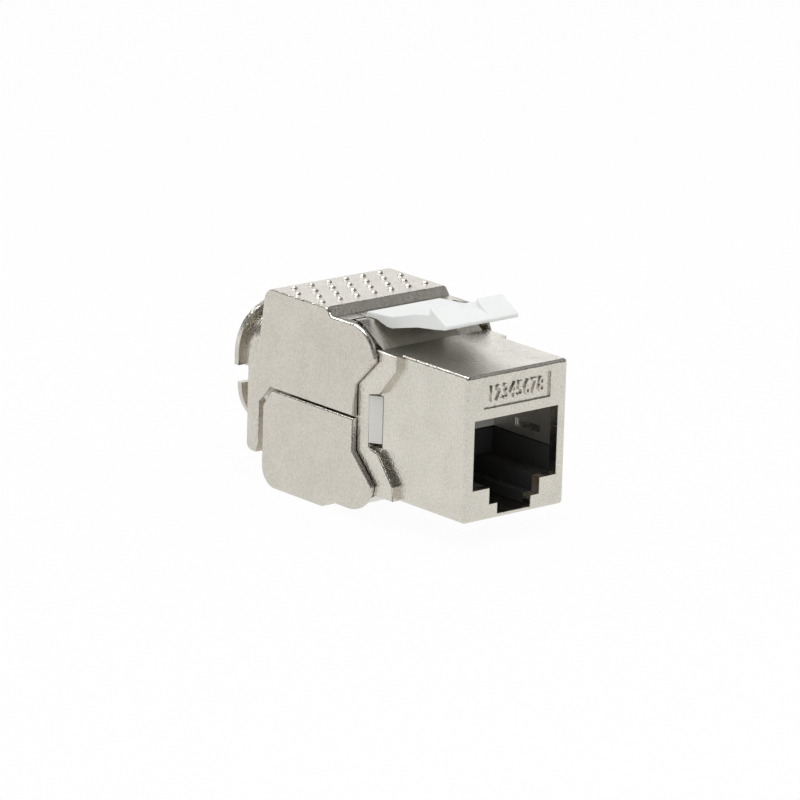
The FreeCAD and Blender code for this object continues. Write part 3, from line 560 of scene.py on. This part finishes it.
class JACK_OT_stage(bpy.types.Operator):
    """Sets up the floor, the studio light and the camera"""

    bl_idname = "jack.stage"
    bl_label = "Stage"

    def execute(self, context):
        self.add_floor()
        self.add_roof()
        self.add_world(context)
        self.add_lamps()
        self.add_camera(context)
        return {"FINISHED"}

    def add_floor(self):
        bpy.ops.object.select_all(action="DESELECT")
        bpy.ops.mesh.primitive_plane_add(size=FLOOR_SIZE,
                                         location=(0, 0, CAD_BOX[0][2] - FLOOR_DROP))
        floor = bpy.context.active_object
        floor.name = "floor"
        material = bpy.data.materials.new("pale_floor")
        tree = Tree(material)
        pale = tree.node("ShaderNodeBsdfDiffuse", inputs={"Color": FLOOR_GREY})
        clear = tree.node("ShaderNodeBsdfTransparent")
        seen = tree.node("ShaderNodeLightPath", output="Is Camera Ray")
        shade = tree.node("ShaderNodeLightPath", output="Is Shadow Ray")
        mirrored = tree.node("ShaderNodeLightPath", output="Is Glossy Ray")
        lit = tree.node("ShaderNodeEmission", inputs={"Color": FLOOR_MIRRORED})
        factor = (seen * FLOOR_CLEARNESS + shade).at_most(1.0)
        soft = tree.node("ShaderNodeMixShader", inputs={0: factor, 1: pale, 2: clear})
        tree.finish(tree.node("ShaderNodeMixShader", inputs={0: mirrored, 1: soft, 2: lit}))
        wear(floor, material)

    def add_roof(self):
        """A darker tent roof that only reflections see, so that edges read on the metal."""
        bpy.ops.object.select_all(action="DESELECT")
        bpy.ops.mesh.primitive_uv_sphere_add(segments=ROOF_SEGMENTS, ring_count=ROOF_SEGMENTS,
                                             radius=ROOF_RADIUS)
        roof = bpy.context.active_object
        roof.name = "tent_roof"
        bpy.ops.object.mode_set(mode="EDIT")
        bpy.ops.mesh.select_all(action="SELECT")
        bpy.ops.mesh.bisect(plane_co=(0, 0, ROOF_RIM), plane_no=(0, 0, 1), clear_inner=True)
        bpy.ops.object.mode_set(mode="OBJECT")
        material = bpy.data.materials.new("tent_cloth")
        tree = Tree(material)
        across, back, height = (tree.node("ShaderNodeSeparateXYZ", inputs={0: tree.place()},
                                          output=axis) for axis in "XYZ")
        shade = tree.node("ShaderNodeValToRGB", {"stops": ROOF_STOPS},
                          {0: (height - back * 0.35 - across * 0.15) / ROOF_RADIUS})
        spot = tree.node("ShaderNodeValToRGB", {"stops": SPOT_STOPS},
                         {0: (height * 0.93 + back * 0.35 - across * 0.1) / ROOF_RADIUS})
        tree.finish(tree.node("ShaderNodeEmission", inputs={
            "Color": shade + spot * SPOT_GAIN, "Strength": ROOF_STRENGTH}))
        wear(roof, material)
        roof.visible_camera = roof.visible_diffuse = False
        roof.visible_shadow = roof.visible_transmission = False

    def add_world(self, context):
        world = bpy.data.worlds.new("studio")
        context.scene.world = world
        tree = Tree(world)
        plain = tree.node("ShaderNodeBackground", inputs={
            "Color": WORLD_TINT, "Strength": WORLD_STRENGTH})
        white = tree.node("ShaderNodeBackground", inputs={
            "Color": (1, 1, 1, 1), "Strength": 1.0})
        path = [tree.node("ShaderNodeLightPath", output=name)
                for name in ("Is Camera Ray", "Is Glossy Ray", "Is Transmission Ray")]
        factor = (path[0] + path[1] + path[2]).at_most(1.0)
        mixed = tree.node("ShaderNodeMixShader", inputs={0: factor, 1: plain, 2: white})
        tree.node("ShaderNodeOutputWorld", inputs={"Surface": mixed})

    def add_lamps(self):
        for name, place, size, power in LAMPS:
            bpy.ops.object.light_add(type="AREA", location=place)
            lamp = bpy.context.active_object
            lamp.name = name
            lamp.data.size = size
            lamp.data.energy = power
            lamp.visible_glossy = False
            lamp.rotation_euler = (Vector(place) - LAMP_AIM).to_track_quat("Z", "Y").to_euler()

    def add_camera(self, context):
        turn, rise, roll = CAMERA_TURN, CAMERA_RISE, CAMERA_ROLL
        right = Vector((math.cos(turn), -math.sin(turn), 0))
        up = Vector((math.sin(turn) * math.sin(rise), math.cos(turn) * math.sin(rise),
                     math.cos(rise)))
        back = right.cross(up)
        place = back * CAMERA_AWAY - right * CAMERA_ACROSS - up * CAMERA_BELOW
        tilted_right = right * math.cos(roll) - up * math.sin(roll)
        tilted_up = right * math.sin(roll) + up * math.cos(roll)
        bpy.ops.object.camera_add(location=place)
        camera = bpy.context.active_object
        camera.name = "camera"
        turned = camera.matrix_world.to_3x3()
        for column, axis in enumerate((tilted_right, tilted_up, back)):
            for row in range(3):
                turned[row][column] = axis[row]
        camera.rotation_euler = turned.to_euler()
        camera.data.sensor_width = CAMERA_SENSOR
        camera.data.lens = CAMERA_LENS
        camera.data.clip_start = CAMERA_NEAR
        context.scene.camera = camera


class JACK_PT_panel(bpy.types.Panel):
    bl_label = "Keystone jack"
    bl_idname = "JACK_PT_panel"
    bl_space_type = "VIEW_3D"
    bl_region_type = "UI"
    bl_category = "Jack"

    def draw(self, context):
        for group in (context.scene.jack_sizes, context.scene.jack_colours):
            for name in group.__annotations__:
                self.layout.prop(group, name)
        for operator in OPERATORS:
            self.layout.operator(operator.bl_idname)


OPERATORS = (JACK_OT_finishes, JACK_OT_housing, JACK_OT_wings, JACK_OT_domes,
             JACK_OT_latch, JACK_OT_numbers, JACK_OT_stage)
CLASSES = (JackSizes, JackColours, *OPERATORS, JACK_PT_panel)


def register():
    for item in CLASSES:
        bpy.utils.register_class(item)
    bpy.types.Scene.jack_sizes = PointerProperty(type=JackSizes)
    bpy.types.Scene.jack_colours = PointerProperty(type=JackColours)


def unregister():
    del bpy.types.Scene.jack_sizes
    del bpy.types.Scene.jack_colours
    for item in reversed(CLASSES):
        bpy.utils.unregister_class(item)


def plain(box):
    return [[float(value) for value in corner] for corner in box]


def main():
    register()
    bpy.context.scene.view_settings.view_transform = "Standard"
    bpy.ops.object.select_all(action="DESELECT")
    for name in ("finishes", "housing", "wings", "domes", "latch", "numbers", "stage"):
        getattr(bpy.ops.jack, name)()


if __name__ == "__main__":
    main()
